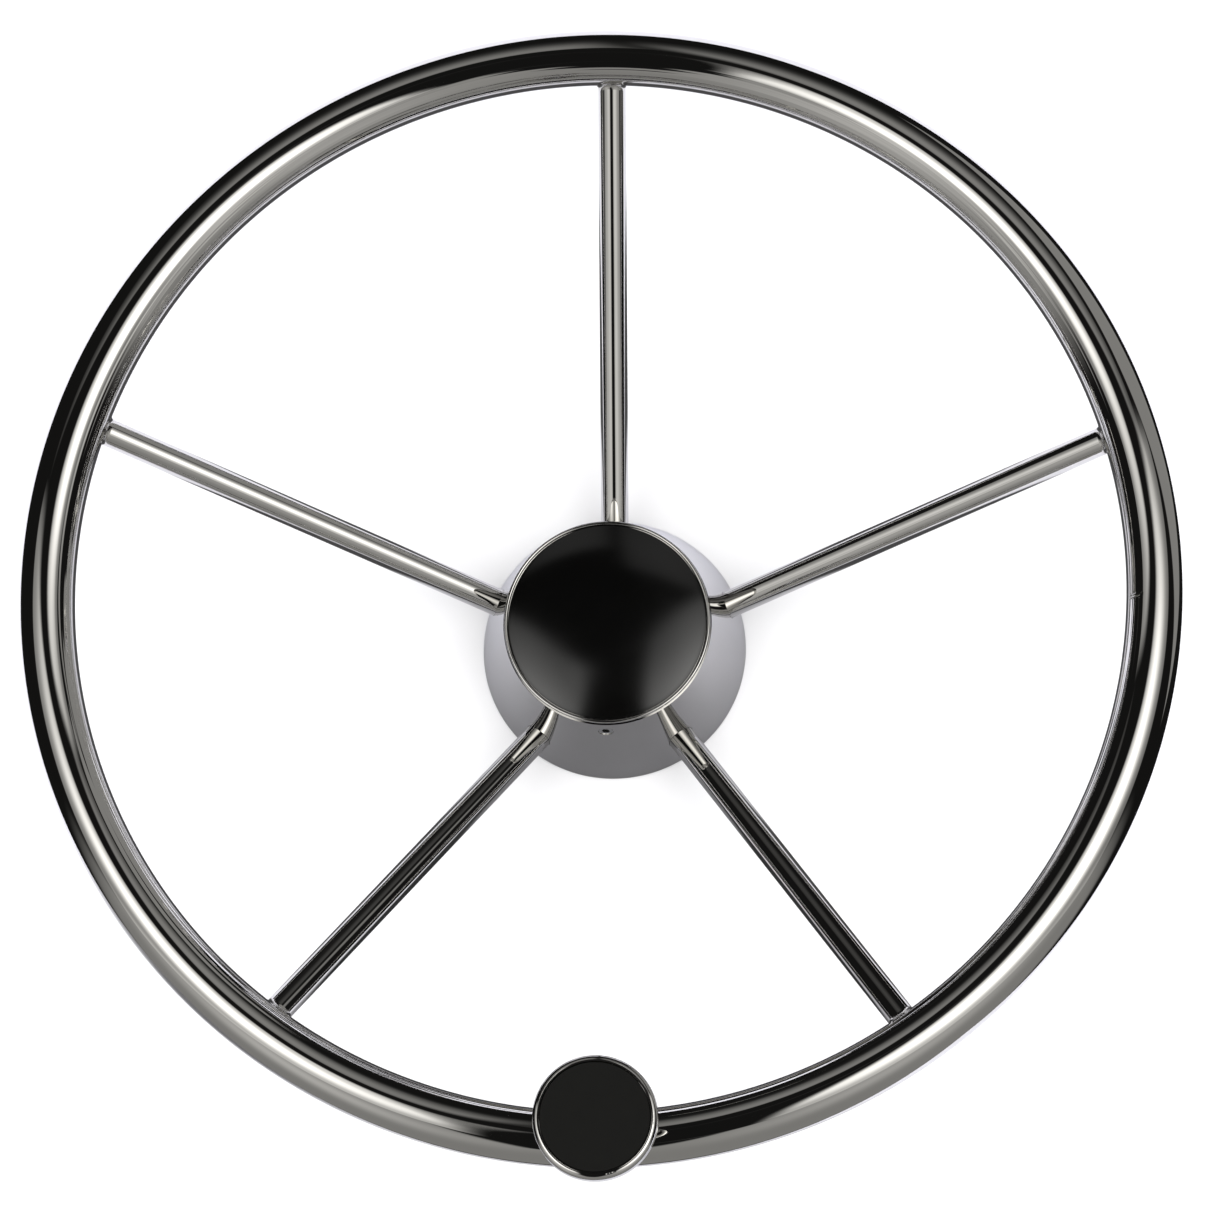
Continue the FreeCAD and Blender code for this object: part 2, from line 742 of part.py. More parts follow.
def make_all():
    """Every sub-part, in the order that the wheel goes together."""
    spokes = [make_spoke(label, position) for position, label in enumerate(SPOKE_NAMES)]
    return [
        make_rim_tube(),
        *spokes,
        make_rim_welds(),
        make_hub_welds(),
        make_hub_shroud(),
        make_hub_boss(),
        make_back_plate(),
        make_seat_ring(),
        make_set_screw(),
        make_cap_bezel(),
        make_cap_disc(),
        make_knob_post(),
        make_knob_post_weld(),
        make_thrust_washer(),
        make_bush("knob_lower_bush", KNOB_BOTTOM, 1),
        make_bush("knob_upper_bush", BUSH_TOP, -1),
        make_retaining_washer(),
        make_retaining_screw(),
        make_knob_shell(),
        make_knob_insert(),
    ]


def check_document(subparts):
    """Raises if any object failed to build or any sub-part isn't a sound shape."""
    for item in doc.Objects:
        if "Invalid" in item.State or "Error" in item.State:
            raise ValueError(f"{item.Name} failed: {item.State}")
    for item in subparts:
        if item.Shape.isNull() or not item.Shape.isValid():
            raise ValueError(f"{item.Label} has no sound shape")


def write_parts(subparts):
    os.makedirs("parts", exist_ok=True)
    for item in subparts:
        item.Shape.exportStep(f"parts/{item.Label}.step")


fill_sheet()
all_parts = make_all()
doc.recompute()
check_document(all_parts)
write_parts(all_parts)
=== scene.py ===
"""The looks of a polished steel boat steering wheel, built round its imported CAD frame.

Everything is in metres, in the frame of the CAD model: the hub's back face lies on the floor at z = 0,
+Z points to the person steering, +Y to the top spoke and +X to the right.
"""

import math

import bpy
from mathutils import Matrix, Vector


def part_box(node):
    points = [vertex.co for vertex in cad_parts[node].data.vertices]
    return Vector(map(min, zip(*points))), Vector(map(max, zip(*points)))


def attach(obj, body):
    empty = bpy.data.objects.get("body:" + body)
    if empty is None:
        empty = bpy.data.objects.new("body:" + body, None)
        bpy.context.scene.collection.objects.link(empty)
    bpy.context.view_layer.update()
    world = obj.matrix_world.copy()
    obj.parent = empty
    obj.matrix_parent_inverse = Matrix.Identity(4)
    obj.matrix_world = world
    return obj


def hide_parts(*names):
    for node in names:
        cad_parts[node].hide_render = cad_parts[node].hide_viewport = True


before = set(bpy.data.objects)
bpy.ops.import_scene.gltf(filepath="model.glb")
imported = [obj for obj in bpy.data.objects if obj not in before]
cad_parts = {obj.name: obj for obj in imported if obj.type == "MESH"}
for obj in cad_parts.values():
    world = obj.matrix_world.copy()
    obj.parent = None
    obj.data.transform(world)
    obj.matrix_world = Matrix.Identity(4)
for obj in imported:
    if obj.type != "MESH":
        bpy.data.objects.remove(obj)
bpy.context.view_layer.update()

MM = 0.001

# The rim's sizes, read from the frame.
rim_low, rim_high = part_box("rim_tube")
TUBE_RADIUS = (rim_high.z - rim_low.z) / 2
RIM_HEIGHT = (rim_high.z + rim_low.z) / 2
RING_RADIUS = rim_high.x - TUBE_RADIUS

# The spokes: their tube, their rise, the boss that they end at, and each one's azimuth in degrees.
SPOKE_RADIUS = 9.525 * MM / 2
SPOKE_RISE = math.radians(27.8)
BOSS_RADIUS = 25.0 * MM
SPOKES = {
    "spoke_top": 90,
    "spoke_upper_left": 162,
    "spoke_lower_left": 234,
    "spoke_lower_right": 306,
    "spoke_upper_right": 18,
}
# What a spoke mirrors is turned by this slope along it. Its shape isn't.
SPOKE_LEAN = math.tan(math.radians(5))

knob_low, knob_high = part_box("knob_shell")
KNOB_AXIS = Vector(((knob_low.x + knob_high.x) / 2, (knob_low.y + knob_high.y) / 2, 0))


# --------------------------------------------------------------------------- node helpers


class Nodes:
    """A short way to write a node tree: each call adds a node and gives back its output."""

    def __init__(self, tree):
        self.tree = tree
        tree.nodes.clear()

    def add(self, kind, inputs=None, out=0, **settings):
        node = self.tree.nodes.new(kind)
        for name, value in settings.items():
            setattr(node, name, value)
        for name, value in (inputs or {}).items():
            if isinstance(value, bpy.types.NodeSocket):
                self.tree.links.new(value, node.inputs[name])
            else:
                node.inputs[name].default_value = value
        return node.outputs[out] if node.outputs else node

    def math(self, operation, a, b=0.0):
        return self.add("ShaderNodeMath", {0: a, 1: b}, operation=operation)

    def total(self, *values):
        result = values[0]
        for value in values[1:]:
            result = self.math("ADD", result, value)
        return result

    def dot(self, a, b):
        return self.add("ShaderNodeVectorMath", {0: a, 1: b}, out="Value", operation="DOT_PRODUCT")

    def stretch(self, vector, scale):
        return self.add("ShaderNodeVectorMath", {0: vector, 1: scale}, operation="MULTIPLY")

    def ramp(self, value, low, high, to_low=0.0, to_high=1.0, smooth=False):
        kind = "SMOOTHSTEP" if smooth else "LINEAR"
        inputs = {"Value": value, "From Min": low, "From Max": high, "To Min": to_low, "To Max": to_high}
        return self.add("ShaderNodeMapRange", inputs, interpolation_type=kind)

    def noise(self, vector, scale, detail=3.0, roughness=0.5):
        inputs = {"Vector": vector, "Scale": scale, "Detail": detail, "Roughness": roughness}
        return self.add("ShaderNodeTexNoise", inputs)

    def mix(self, share, a, b):
        return self.add("ShaderNodeMix", {0: share, 6: a, 7: b}, out=2, data_type="RGBA")

    def bump(self, height, distance, normal=None):
        inputs = {"Height": height, "Distance": distance, "Strength": 1.0}
        if normal:
            inputs["Normal"] = normal
        return self.add("ShaderNodeBump", inputs)

    def split(self, vector):
        node = self.tree.nodes.new("ShaderNodeSeparateXYZ")
        self.tree.links.new(vector, node.inputs[0])
        return node.outputs

    def polar(self, centre):
        """Where a point lies round an upright axis: its distance out, its turn and its height."""
        place = self.add("ShaderNodeTexCoord", out="Object")
        shifted = self.add("ShaderNodeVectorMath", {0: place, 1: -centre}, operation="ADD")
        x, y, z = self.split(shifted)
        out = self.math("SQRT", self.math("ADD", self.math("MULTIPLY", x, x), self.math("MULTIPLY", y, y)))
        turn = self.math("ARCTAN2", y, x)
        return self.add("ShaderNodeCombineXYZ", {"X": out, "Y": turn, "Z": z})


# --------------------------------------------------------------------------- studio


def towards(azimuth, elevation):
    """The direction at an azimuth, counted from +X towards +Y, and a height above the floor."""
    a, e = math.radians(azimuth), math.radians(elevation)
    return Vector((math.cos(e) * math.cos(a), math.cos(e) * math.sin(a), math.sin(e)))


def panel(nodes, direction, azimuth, elevation, turn, length, foot, head, soft, level):
    """A flat panel with soft edges, drawn as if it faced the wheel from one metre away: the direction of
    its middle, how far its long way is turned up from level, its length, its width at its foot and at
    its head, how soft its edges are, and its level of light."""
    ahead = towards(azimuth, elevation)
    level_way = towards(azimuth + 90, 0)
    upward = ahead.cross(level_way)
    lean = math.radians(turn)
    along = level_way * math.cos(lean) + upward * math.sin(lean)
    across = level_way * math.sin(lean) - upward * math.cos(lean)
    flare = along * (head - foot) / (2 * length)
    edges = (
        ahead * length / 2 + along,
        ahead * length / 2 - along,
        ahead * (foot + head) / 4 + flare + across,
        ahead * (foot + head) / 4 + flare - across,
    )
    shine = level
    for inward in edges:
        inside = nodes.ramp(nodes.dot(direction, inward.normalized()), -soft, soft, smooth=True)
        shine = nodes.math("MULTIPLY", inside, shine)
    return shine


def glow(nodes, direction, azimuth, elevation, spread, level):
    """A round patch of light that falls away like a bell with the angle from its centre."""
    ahead = nodes.dot(direction, towards(azimuth, elevation))
    away = nodes.math("ARCCOSINE", nodes.math("MINIMUM", ahead, 1.0))
    share = nodes.math("DIVIDE", away, math.radians(spread))
    bell = nodes.math("EXPONENT", nodes.math("MULTIPLY", nodes.math("MULTIPLY", share, share), -0.5))
    return nodes.math("MULTIPLY", bell, level)


# Panels: azimuth, elevation and turn in degrees, length, widths at foot and head, softness of the edges.
LEFT_BOX = (198, 58, 62, 1.10, 0.90, 0.80, 0.035)
RIGHT_BOX = (346, 61, 119, 1.40, 1.15, 0.90, 0.035)
LEFT_BACK_WALL = (116, 36, 68, 0.85, 0.50, 0.70, 0.03)
RIGHT_BACK_WALL = (72, 44, 110, 0.85, 0.45, 0.60, 0.03)
LOW_WALL = (270, 0, 90, 3.10, 6.0, 7.5, 0.12)
SIDE_CARD = (34, -1, 54, 1.35, 0.72, 0.72, 0.02)
STAND_TOP = (264, 76, 97, 0.90, 0.50, 0.12, 0.03)
STAND_FOOT = (264, 42, 90, 0.42, 0.17, 0.46, 0.03)
# Glows: azimuth, elevation and spread in degrees, and level. A wall without an even level is all glow.
LEFT_BOX_GLOW = (200, 65, 11.0, 2.0)
RIGHT_BOX_GLOW = (348, 66, 12.5, 2.9)
LEFT_WALL_GLOW = (112, 57, 13.0, 0.28)
RIGHT_WALL_GLOW = (72, 61, 13.0, 0.30)
LOW_WALL_LEFT_GLOW = (229, 27, 14.0, 0.34)
LOW_WALL_RIGHT_GLOW = (308, 33, 14.0, 0.24)
# Even levels of light.
LEFT_BOX_LEVEL = 0.30
RIGHT_BOX_LEVEL = 0.22
LOW_WALL_LEVEL = 0.28
SIDE_CARD_LEVEL = 0.30
STUDIO_DARK = 0.010
STUDIO_COLOUR = (1, 0.99, 0.965, 1)
BACKDROP = (0.93, 0.93, 0.94, 1)

# The board's left, right, near and far edges, and how far it lies under the floor.
BOARD_EDGES = (-0.29, 0.22, -0.24, 0.85)
BOARD_DROP = 0.5 * MM
# The board has a painted shadow in a ring round the hub, under the spokes: where it sets in, is full,
# begins to end and has ended.
BOARD_PAINTED_SHADOW_REACH = (0.075, 0.095, 0.160, 0.180)
BOARD_PAINTED_SHADOW_LEVEL = 0.15
# Parts of the board with painted shade: where, how far they are full and how far they reach, and what light
# is left.
BOARD_PAINTED_SHADES = (
    ((0.0, -0.11, 0.0), 0.04, 0.17, 0.38),
    ((-0.23, -0.26, 0.0), 0.06, 0.17, 0.30),
)


def make_world():
    """A dark studio with soft light panels round the wheel and a dark stand in front of them. Camera rays
    see a plain pale backdrop instead."""
    world = bpy.data.worlds.new("studio")
    bpy.context.scene.world = world
    world.use_nodes = True
    nodes = Nodes(world.node_tree)
    direction = nodes.add("ShaderNodeTexCoord", out="Generated")
    left = nodes.total(LEFT_BOX_LEVEL, glow(nodes, direction, *LEFT_BOX_GLOW))
    right = nodes.total(RIGHT_BOX_LEVEL, glow(nodes, direction, *RIGHT_BOX_GLOW))
    low_wall = nodes.total(
        LOW_WALL_LEVEL,
        glow(nodes, direction, *LOW_WALL_LEFT_GLOW),
        glow(nodes, direction, *LOW_WALL_RIGHT_GLOW),
    )
    lit = nodes.total(
        panel(nodes, direction, *LEFT_BOX, left),
        panel(nodes, direction, *RIGHT_BOX, right),
        panel(nodes, direction, *LEFT_BACK_WALL, glow(nodes, direction, *LEFT_WALL_GLOW)),
        panel(nodes, direction, *RIGHT_BACK_WALL, glow(nodes, direction, *RIGHT_WALL_GLOW)),
        panel(nodes, direction, *LOW_WALL, low_wall),
        panel(nodes, direction, *SIDE_CARD, SIDE_CARD_LEVEL),
    )
    top = panel(nodes, direction, *STAND_TOP, 1.0)
    foot = panel(nodes, direction, *STAND_FOOT, 1.0)
    open_sky = nodes.math("SUBTRACT", 1.0, nodes.math("MAXIMUM", top, foot))
    total = nodes.math("ADD", nodes.math("MULTIPLY", lit, open_sky), STUDIO_DARK)
    studio = nodes.add("ShaderNodeBackground", {"Color": STUDIO_COLOUR, "Strength": total})
    backdrop = nodes.add("ShaderNodeBackground", {"Color": BACKDROP, "Strength": 1.0})
    seen = nodes.add("ShaderNodeLightPath", out="Is Camera Ray")
    either = nodes.add("ShaderNodeMixShader", {0: seen, 1: studio, 2: backdrop})
    nodes.add("ShaderNodeOutputWorld", {"Surface": either})


def add_object(name, mesh):
    piece = bpy.data.objects.new(name, mesh)
    bpy.context.scene.collection.objects.link(piece)
    return piece


def floor_material():
    material, nodes = start_material("pale_floor")
    place = nodes.add("ShaderNodeTexCoord", out="Object")
    shade = nodes.mix(nodes.noise(place, 40.0), (0.86, 0.86, 0.88, 1), (0.88, 0.88, 0.90, 1))
    finish(nodes, {"Base Color": shade, "Roughness": 0.9})
    return material


def board_material():
    """The board is nearly white, with a painted shadow in a ring under the spokes and painted shade round
    the hub.
    """
    material, nodes = start_material("pale_board_painted_shade")
    place = nodes.add("ShaderNodeTexCoord", out="Object")
    wander = 0.04
    cloud = nodes.math("MULTIPLY", nodes.math("SUBTRACT", nodes.noise(place, 9.0), 0.5), wander)
    light = 1.0
    # Painted shade darkens the board's colour below the hub and off to the lower left.
    for centre, inner, outer, dark in BOARD_PAINTED_SHADES:
        away = nodes.add("ShaderNodeVectorMath", {0: place, 1: centre}, out="Value", operation="DISTANCE")
        reach = nodes.math("ADD", away, cloud)
        light = nodes.math("MULTIPLY", nodes.ramp(reach, inner, outer, dark, 1.0, smooth=True), light)
    # A painted shadow darkens the board's colour in a ring under the spokes.
    hub_edge, shadow_full_edge, shadow_fade_start, rim_edge = BOARD_PAINTED_SHADOW_REACH
    from_hub = nodes.add("ShaderNodeVectorMath", {0: place}, out="Value", operation="LENGTH")
    falls = nodes.ramp(from_hub, hub_edge, shadow_full_edge, 1.0, BOARD_PAINTED_SHADOW_LEVEL, smooth=True)
    rises = nodes.ramp(from_hub, shadow_fade_start, rim_edge, BOARD_PAINTED_SHADOW_LEVEL, 1.0, smooth=True)
    light = nodes.math("MULTIPLY", nodes.math("MAXIMUM", falls, rises), light)
    shade = nodes.mix(light, (0.0, 0.0, 0.0, 1), (0.90, 0.90, 0.94, 1))
    finish(nodes, {"Base Color": shade, "Roughness": 0.9})
    return material


def flat_rectangle(name, left, right, near, far, height):
    corners = [(left, near, height), (right, near, height), (right, far, height), (left, far, height)]
    mesh = bpy.data.meshes.new(name)
    mesh.from_pydata(corners, [], [(0, 1, 2, 3)])
    return add_object(name, mesh)


def make_floor():
    """A wide pale floor that the camera sees, and a board just under it that the steel mirrors."""
    reach = 30.0
    floor = flat_rectangle("floor", -reach, reach, -reach, reach, 0.0)
    floor.data.materials.append(floor_material())
    floor.visible_glossy = False
    floor.visible_shadow = False
    board = flat_rectangle("board", *BOARD_EDGES, -BOARD_DROP)
    board.data.materials.append(board_material())
    board.visible_camera = False


def make_sky_light():
    """A very wide, soft overhead light that evens out the floor and isn't mirrored."""
    light = bpy.data.lights.new("overhead", "SUN")
    light.energy = 3.5
    light.angle = math.radians(120)
    rig = add_object("overhead", light)
    rig.visible_glossy = False


def make_camera():
    """The camera looks down on the wheel from in front and a little to the right, through a long lens."""
    aim = Vector((0.0029, -0.0055, 0.0930))
    distance, azimuth, elevation, roll = 2.8273, -74.10, 76.78, -14.94
    back = towards(azimuth, elevation)
    lens = bpy.data.cameras.new("camera")
    lens.lens = 248.1
    lens.sensor_width = 36.0
    lens.clip_start, lens.clip_end = 0.1, 100.0
    camera = add_object("camera", lens)
    facing = (-back).to_track_quat("-Z", "Y").to_matrix()
    turned = facing @ Matrix.Rotation(math.radians(roll), 3, "Z")
    camera.matrix_world = Matrix.Translation(aim + back * distance) @ turned.to_4x4()
    bpy.context.scene.camera = camera


# --------------------------------------------------------------------------- materials


def start_material(name):
    material = bpy.data.materials.new(name)
    material.use_nodes = True
    return material, Nodes(material.node_tree)


def finish(nodes, inputs):
    surface = nodes.add("ShaderNodeBsdfPrincipled", inputs)
    nodes.add("ShaderNodeOutputMaterial", {"Surface": surface})


def bending_ripples(nodes):
    """Low ripples that run along the inner shoulder of the rim. The band's middle is measured round the
    tube from its outermost line."""
    middle, full, reach = 22.0 * MM, 1.6 * MM, 3.6 * MM
    lay = nodes.add("ShaderNodeUVMap", uv_map="lay")
    _, girth, _ = nodes.split(lay)
    off_centre = nodes.math("ABSOLUTE", nodes.math("SUBTRACT", girth, middle))
    mask = nodes.ramp(off_centre, reach, full, smooth=True)
    ripples = nodes.noise(nodes.stretch(lay, (0.006, 1.0, 1.0)), 620.0, 1.0)
    return nodes.math("MULTIPLY", ripples, mask)


def polished_steel(name, lay, wave_height=0.48 * MM, rippled=False, spoke=False):
    """Mirror-polished stainless steel: faint cloudy shade, fine polishing lines along its lay,
    a few hairline scratches, and slow waves that make straight reflections wander. A spoke's
    reflections lean a little towards the hub."""
    material, nodes = start_material(name)
    place = nodes.add("ShaderNodeTexCoord", out="Object")
    along = lay(nodes)
    lines = nodes.noise(along, 2200.0, 4.0, 0.6)
    scratches = nodes.ramp(nodes.noise(along, 700.0, 2.0), 0.72, 0.80, smooth=True)
    cloud = nodes.noise(place, 45.0, 4.0)
    smudge = nodes.ramp(nodes.noise(place, 16.0, 5.0, 0.65), 0.45, 0.75, smooth=True)
    waves = nodes.noise(place, 11.0, 1.0)
    shade = nodes.mix(cloud, (0.605, 0.595, 0.572, 1), (0.650, 0.641, 0.622, 1))
    rough = nodes.total(
        nodes.ramp(lines, 0.3, 0.7, 0.010, 0.024),
        nodes.math("MULTIPLY", smudge, 0.012),
        nodes.math("MULTIPLY", scratches, 0.04),
    )
    wavy = nodes.bump(waves, wave_height)
    if rippled:
        wavy = nodes.bump(bending_ripples(nodes), 0.22 * MM, wavy)
    lined = nodes.bump(lines, 0.0001 * MM, wavy)
    if spoke:
        length, _, _ = nodes.split(nodes.add("ShaderNodeUVMap", uv_map="lay"))
        leaning = nodes.math("MULTIPLY", length, SPOKE_LEAN)
        lined = nodes.bump(leaning, 1.0, lined)
    finish(nodes, {"Base Color": shade, "Metallic": 1.0, "Roughness": rough, "Normal": lined})
    return material


def along_tube(nodes):
    """Lines that run along a tube: its mesh keeps its length and its girth in metres as a UV map."""
    return nodes.stretch(nodes.add("ShaderNodeUVMap", uv_map="lay"), (0.03, 1.0, 1.0))


def round_hub(nodes):
    """Lines that run round the hub."""
    return nodes.stretch(nodes.polar(Vector((0, 0, 0))), (1.0, 0.0012, 1.0))


def round_knob(nodes):
    """Lines that run round the knob."""
    return nodes.stretch(nodes.polar(KNOB_AXIS), (1.0, 0.0008, 1.0))


def turned_steel(name, centre, colour, rough_low, rough_high, pitch):
    """Steel as a lathe leaves it: fine rings round its axis."""
    material, nodes = start_material(name)
    polar = nodes.polar(centre)
    rings = nodes.noise(nodes.stretch(polar, (1.0, 0.002, 1.0)), 1.0 / pitch, 3.0, 0.6)
    cloud = nodes.noise(polar, 90.0)
    lighter = tuple(1.08 * channel for channel in colour)
    shade = nodes.mix(cloud, (*colour, 1), (*lighter, 1))
    rough = nodes.ramp(rings, 0.3, 0.7, rough_low, rough_high)
    finish(
        nodes,
        {
            "Base Color": shade,
            "Metallic": 1.0,
            "Roughness": rough,
            "Normal": nodes.bump(rings, 0.004 * MM),
        },
    )
    return material


def weld_steel():
    """Weld metal that was ground and polished back: bright, with faint ripples and a little straw tint."""
    material, nodes = start_material("weld_metal")
    place = nodes.add("ShaderNodeTexCoord", out="Object")
    ripples = nodes.noise(place, 900.0, 3.0, 0.55)
    patches = nodes.noise(place, 260.0, 3.0)
    shade = nodes.mix(patches, (0.56, 0.545, 0.515, 1), (0.64, 0.63, 0.61, 1))
    rough = nodes.ramp(ripples, 0.3, 0.7, 0.06, 0.13)
    finish(
        nodes,
        {
            "Base Color": shade,
            "Metallic": 1.0,
            "Roughness": rough,
            "Normal": nodes.bump(ripples, 0.012 * MM),
        },
    )
    return material


def cap_plastic():
    """Smooth black plastic with a satin gloss: very fine grain, faint wipe marks and cloudy gloss."""
    material, nodes = start_material("black_cap")
    place = nodes.add("ShaderNodeTexCoord", out="Object")
    grain = nodes.noise(place, 5200.0, 2.0)
    wipes = nodes.noise(place, 60.0, 4.0, 0.6)
    shade = nodes.mix(grain, (0.0006, 0.0006, 0.0006, 1), (0.0014, 0.0014, 0.0013, 1))
    rough = nodes.total(nodes.ramp(wipes, 0.35, 0.7, 0.095, 0.115), nodes.ramp(grain, 0.3, 0.7, 0.0, 0.015))
    finish(
        nodes,
        {
            "Base Color": shade,
            "Roughness": rough,
            "IOR": 1.65,
            "Normal": nodes.bump(grain, 0.0004 * MM),
        },
    )
    return material


def insert_plastic():
    """Matt black plastic with an even fine grain and a slight cloudiness."""
    material, nodes = start_material("black_insert")
    place = nodes.add("ShaderNodeTexCoord", out="Object")
    grain = nodes.noise(place, 2600.0, 3.0, 0.7)
    cloud = nodes.noise(place, 180.0, 3.0)
    fleck = nodes.mix(grain, (0.0028, 0.0028, 0.0024, 1), (0.0058, 0.0058, 0.0052, 1))
    shade = nodes.mix(nodes.ramp(cloud, 0.35, 0.65), fleck, (0.0040, 0.0040, 0.0036, 1))
    rough = nodes.ramp(grain, 0.3, 0.7, 0.42, 0.62)
    finish(
        nodes,
        {
            "Base Color": shade,
            "Roughness": rough,
            "IOR": 1.22,
            "Normal": nodes.bump(grain, 0.010 * MM),
        },
    )
    return material


def bearing_plastic():
    """Off-white acetal, slightly waxy, with faint tool marks."""
    material, nodes = start_material("bearing_plastic")
    polar = nodes.polar(KNOB_AXIS)
    marks = nodes.noise(nodes.stretch(polar, (1.0, 0.003, 1.0)), 2500.0, 3.0)
    cloud = nodes.noise(polar, 200.0)
    shade = nodes.mix(cloud, (0.70, 0.69, 0.64, 1), (0.78, 0.77, 0.73, 1))
    finish(
        nodes,
        {
            "Base Color": shade,
            "Roughness": nodes.ramp(marks, 0.3, 0.7, 0.34, 0.5),
            "Subsurface Weight": 0.15,
            "Subsurface Radius": (0.002, 0.0018, 0.0014),
            "Normal": nodes.bump(marks, 0.003 * MM),
        },
    )
    return material


POLISHED_RIM = polished_steel("polished_rim", along_tube, rippled=True)
POLISHED_SPOKE = polished_steel("polished_spoke", along_tube, spoke=True)
POLISHED_HUB = polished_steel("polished_hub", round_hub, 0.20 * MM)
POLISHED_KNOB = polished_steel("polished_knob", round_knob, 0.08 * MM)
WELD = weld_steel()
TURNED_BOSS = turned_steel("turned_boss", Vector((0, 0, 0)), (0.56, 0.55, 0.53), 0.16, 0.32, 0.35 * MM)
TURNED_POST = turned_steel("turned_post", KNOB_AXIS, (0.56, 0.55, 0.53), 0.14, 0.28, 0.25 * MM)
SCREW = turned_steel("screw_steel", KNOB_AXIS, (0.55, 0.55, 0.54), 0.10, 0.22, 0.18 * MM)
NODE_MATERIALS = {
    "hub_shroud": POLISHED_HUB,
    "hub_back_plate": POLISHED_HUB,
    "cap_seat_ring": POLISHED_HUB,
    "cap_bezel": POLISHED_HUB,
    "knob_shell": POLISHED_KNOB,
    "knob_post": TURNED_POST,
    "hub_boss": TURNED_BOSS,
    "cap_set_screw": SCREW,
    "knob_retaining_screw": SCREW,
    "knob_retaining_washer": SCREW,
    "hub_weld_beads": WELD,
    "knob_post_weld": WELD,
    "knob_insert": insert_plastic(),
}
BEARING = bearing_plastic()
for bearing in ("knob_lower_bush", "knob_upper_bush", "knob_thrust_washer"):
    NODE_MATERIALS[bearing] = BEARING


def dress_cad_nodes():
    """The CAD nodes that stay visible each get their material."""
    for name, material in NODE_MATERIALS.items():
        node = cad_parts[name]
        node.data.materials.clear()
        node.data.materials.append(material)


# --------------------------------------------------------------------------- rim, spokes, fillets and cap


def grid_faces(rows, columns, closed_rows=False):
    """The four-cornered faces of a grid of points whose rows are closed loops. closed_rows joins the
    last row to the first."""
    faces = []
    for i in range(rows if closed_rows else rows - 1):
        for j in range(columns):
            k, n = (i + 1) % rows, (j + 1) % columns
            faces.append((i * columns + j, i * columns + n, k * columns + n, k * columns + j))
    return faces


def smooth_piece(name, points, faces, material, lay=None, body="wheel"):
    """A smooth shaded piece of the wheel. lay gives each corner its place along and round a tube."""
    mesh = bpy.data.meshes.new(name)
    mesh.from_pydata(points, [], faces)
    mesh.update()
    mesh.materials.append(material)
    mesh.shade_smooth()
    mesh.set_sharp_from_angle(angle=math.radians(40))
    if lay:
        layer = mesh.uv_layers.new(name="lay")
        for loop in mesh.loops:
            layer.data[loop.index].uv = lay[loop.vertex_index]
    piece = add_object(name, mesh)
    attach(piece, body)
    return piece


def make_rim():
    """The hand rim as a fine ring of round tube."""
    steps, sides = 480, 64
    points, lay = [], []
    for i in range(steps):
        turn = 2 * math.pi * i / steps
        for j in range(sides):
            lean = 2 * math.pi * j / sides
            out = RING_RADIUS + TUBE_RADIUS * math.cos(lean)
            up = RIM_HEIGHT + TUBE_RADIUS * math.sin(lean)
            points.append((out * math.cos(turn), out * math.sin(turn), up))
            lay.append((RING_RADIUS * turn, TUBE_RADIUS * lean))
    rim = smooth_piece(
        "polished_rim", points, grid_faces(steps, sides, True), POLISHED_RIM, lay
    )
    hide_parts("rim_tube")


class SpokeLine:
    """The axis of a spoke, from the middle of the rim's tube in and down to the boss."""

    def __init__(self, angle):
        outward = towards(angle, 0)
        self.start = outward * RING_RADIUS + Vector((0, 0, RIM_HEIGHT))
        self.along = -(outward * math.cos(SPOKE_RISE) + Vector((0, 0, math.sin(SPOKE_RISE))))
        self.side = Vector((0, 0, 1)).cross(outward)
        self.above = self.side.cross(self.along).normalized()

    def point(self, turn, out, distance):
        """A point beside the axis: its turn round it, how far out it is and how far along."""
        return (
            self.start
            + self.along * distance
            + self.above * (out * math.cos(turn))
            + self.side * (out * math.sin(turn))
        )

    def leaves_rim(self, turn, out):
        """How far along the spoke a line beside its axis comes out of the rim's tube."""
        inside, outside = 0.0, 2 * TUBE_RADIUS
        halvings = 40
        for _ in range(halvings):
            middle = (inside + outside) / 2
            p = self.point(turn, out, middle)
            gap = math.hypot(math.hypot(p.x, p.y) - RING_RADIUS, p.z - RIM_HEIGHT) - TUBE_RADIUS
            inside, outside = (middle, outside) if gap < 0 else (inside, middle)
        return inside


def make_spoke(name, angle):
    """A straight tube whose ends follow the rim and stop at the boss."""
    sides, rows, sunk = 56, 40, 0.25 * MM
    line = SpokeLine(angle)
    end = (RING_RADIUS - BOSS_RADIUS) / math.cos(SPOKE_RISE)
    points, lay = [], []
    for i in range(rows):
        for j in range(sides):
            turn = 2 * math.pi * j / sides
            first = line.leaves_rim(turn, SPOKE_RADIUS) - sunk
            distance = first + (end - first) * i / (rows - 1)
            points.append(line.point(turn, SPOKE_RADIUS, distance))
            lay.append((distance, SPOKE_RADIUS * turn))
    faces = grid_faces(rows, sides)
    points += [line.point(0, 0, TUBE_RADIUS - sunk), line.point(0, 0, end)]
    lay += [(0, 0), (end, 0)]
    last = (rows - 1) * sides
    for j in range(sides):
        n = (j + 1) % sides
        faces.append((n, j, len(points) - 2))
        faces.append((last + j, last + n, len(points) - 1))
    spoke = smooth_piece(f"polished_{name}", points, faces, POLISHED_SPOKE, lay)
    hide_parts(name)


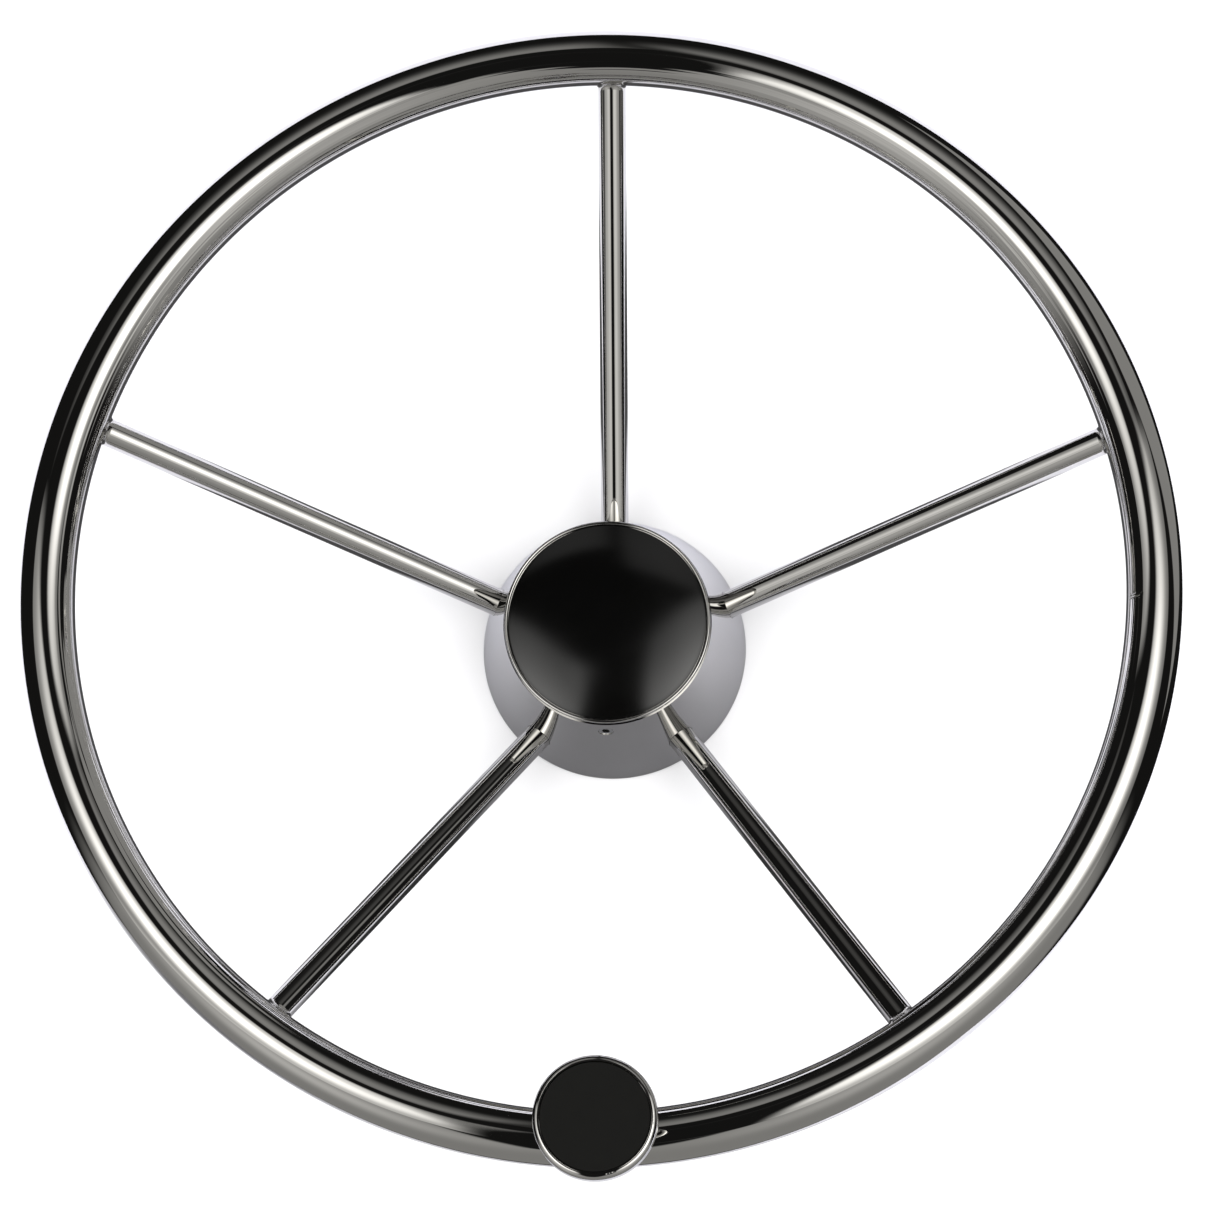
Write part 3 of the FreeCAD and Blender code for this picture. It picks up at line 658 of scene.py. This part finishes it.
def make_fillet(name, angle):
    """The weld between a spoke and the rim, dressed to a small hollow fillet."""
    sides, curve_steps, width, reach, sunk = 72, 8, 1.2 * MM, 1.7 * MM, 0.3 * MM
    line = SpokeLine(angle)
    points = []
    for j in range(sides):
        turn = 2 * math.pi * j / sides
        foot = Vector((SPOKE_RADIUS + width, line.leaves_rim(turn, SPOKE_RADIUS + width)))
        corner = Vector((SPOKE_RADIUS, line.leaves_rim(turn, SPOKE_RADIUS)))
        top = corner + Vector((0, reach))
        profile = [Vector((SPOKE_RADIUS - sunk, corner.y - sunk)), foot - Vector((0, sunk))]
        for step in range(curve_steps + 1):
            share = step / curve_steps
            profile.append(foot * (1 - share) ** 2 + corner * 2 * share * (1 - share) + top * share**2)
        profile.append(top - Vector((sunk, 0)))
        points += [line.point(turn, p.x, p.y) for p in profile]
    faces = grid_faces(sides, len(points) // sides, True)
    return smooth_piece(f"fillet_{name}", points, faces, WELD)


def lathe(name, profile, material, body, centre=Vector((0, 0, 0)), sides=192):
    """A turned piece: its section runs from the axis round the outside and back to the axis."""
    inner = profile[1:-1]
    points = [centre + Vector((0, 0, profile[0][1])), centre + Vector((0, 0, profile[-1][1]))]
    for i in range(sides):
        turn = 2 * math.pi * i / sides
        points += [centre + Vector((out * math.cos(turn), out * math.sin(turn), up)) for out, up in inner]
    count = len(inner)
    faces = []
    for i in range(sides):
        a, b = 2 + i * count, 2 + (i + 1) % sides * count
        faces.append((0, a, b))
        faces += [(a + k, a + k + 1, b + k + 1, b + k) for k in range(count - 1)]
        faces.append((a + count - 1, 1, b + count - 1))
    return smooth_piece(name, points, faces, material, body=body)


def make_cap_dome():
    """The black cap: nearly flat in the middle and rolling over towards its edge, with a hollow spigot."""
    low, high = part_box("cap_disc")
    radius = high.x
    rise, edge_depth, wall, round_off = 2.4 * MM, 1.2 * MM, 1.8 * MM, 0.25 * MM
    spigot, hollow = 30.9 * MM, 29.3 * MM
    steps, edge_steps = 40, 6
    profile = []
    for step in range(steps + 1):
        out = (radius - round_off) * step / steps
        profile.append((out, high.z - rise * (out / radius) ** 3))
    edge_top = profile[-1][1]
    for step in range(1, edge_steps + 1):
        lean = math.radians(90 * step / edge_steps)
        out = radius - round_off * (1 - math.sin(lean))
        profile.append((out, edge_top - round_off * (1 - math.cos(lean))))
    seat = high.z - rise - edge_depth
    profile += [(radius, seat), (spigot, seat), (spigot, low.z), (hollow, low.z)]
    for step in range(steps + 1):
        out = hollow * (1 - step / steps)
        profile.append((out, high.z - wall - rise * (out / radius) ** 3))
    dome = lathe("domed_cap", profile, cap_plastic(), "cap")
    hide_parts("cap_disc")


bpy.context.scene.view_settings.view_transform = "Standard"
make_camera()
make_world()
make_floor()
make_sky_light()
dress_cad_nodes()
make_cap_dome()
make_rim()
for spoke_name, spoke_angle in SPOKES.items():
    make_spoke(spoke_name, spoke_angle)
    fillet = make_fillet(spoke_name, spoke_angle)
    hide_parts("rim_weld_beads")
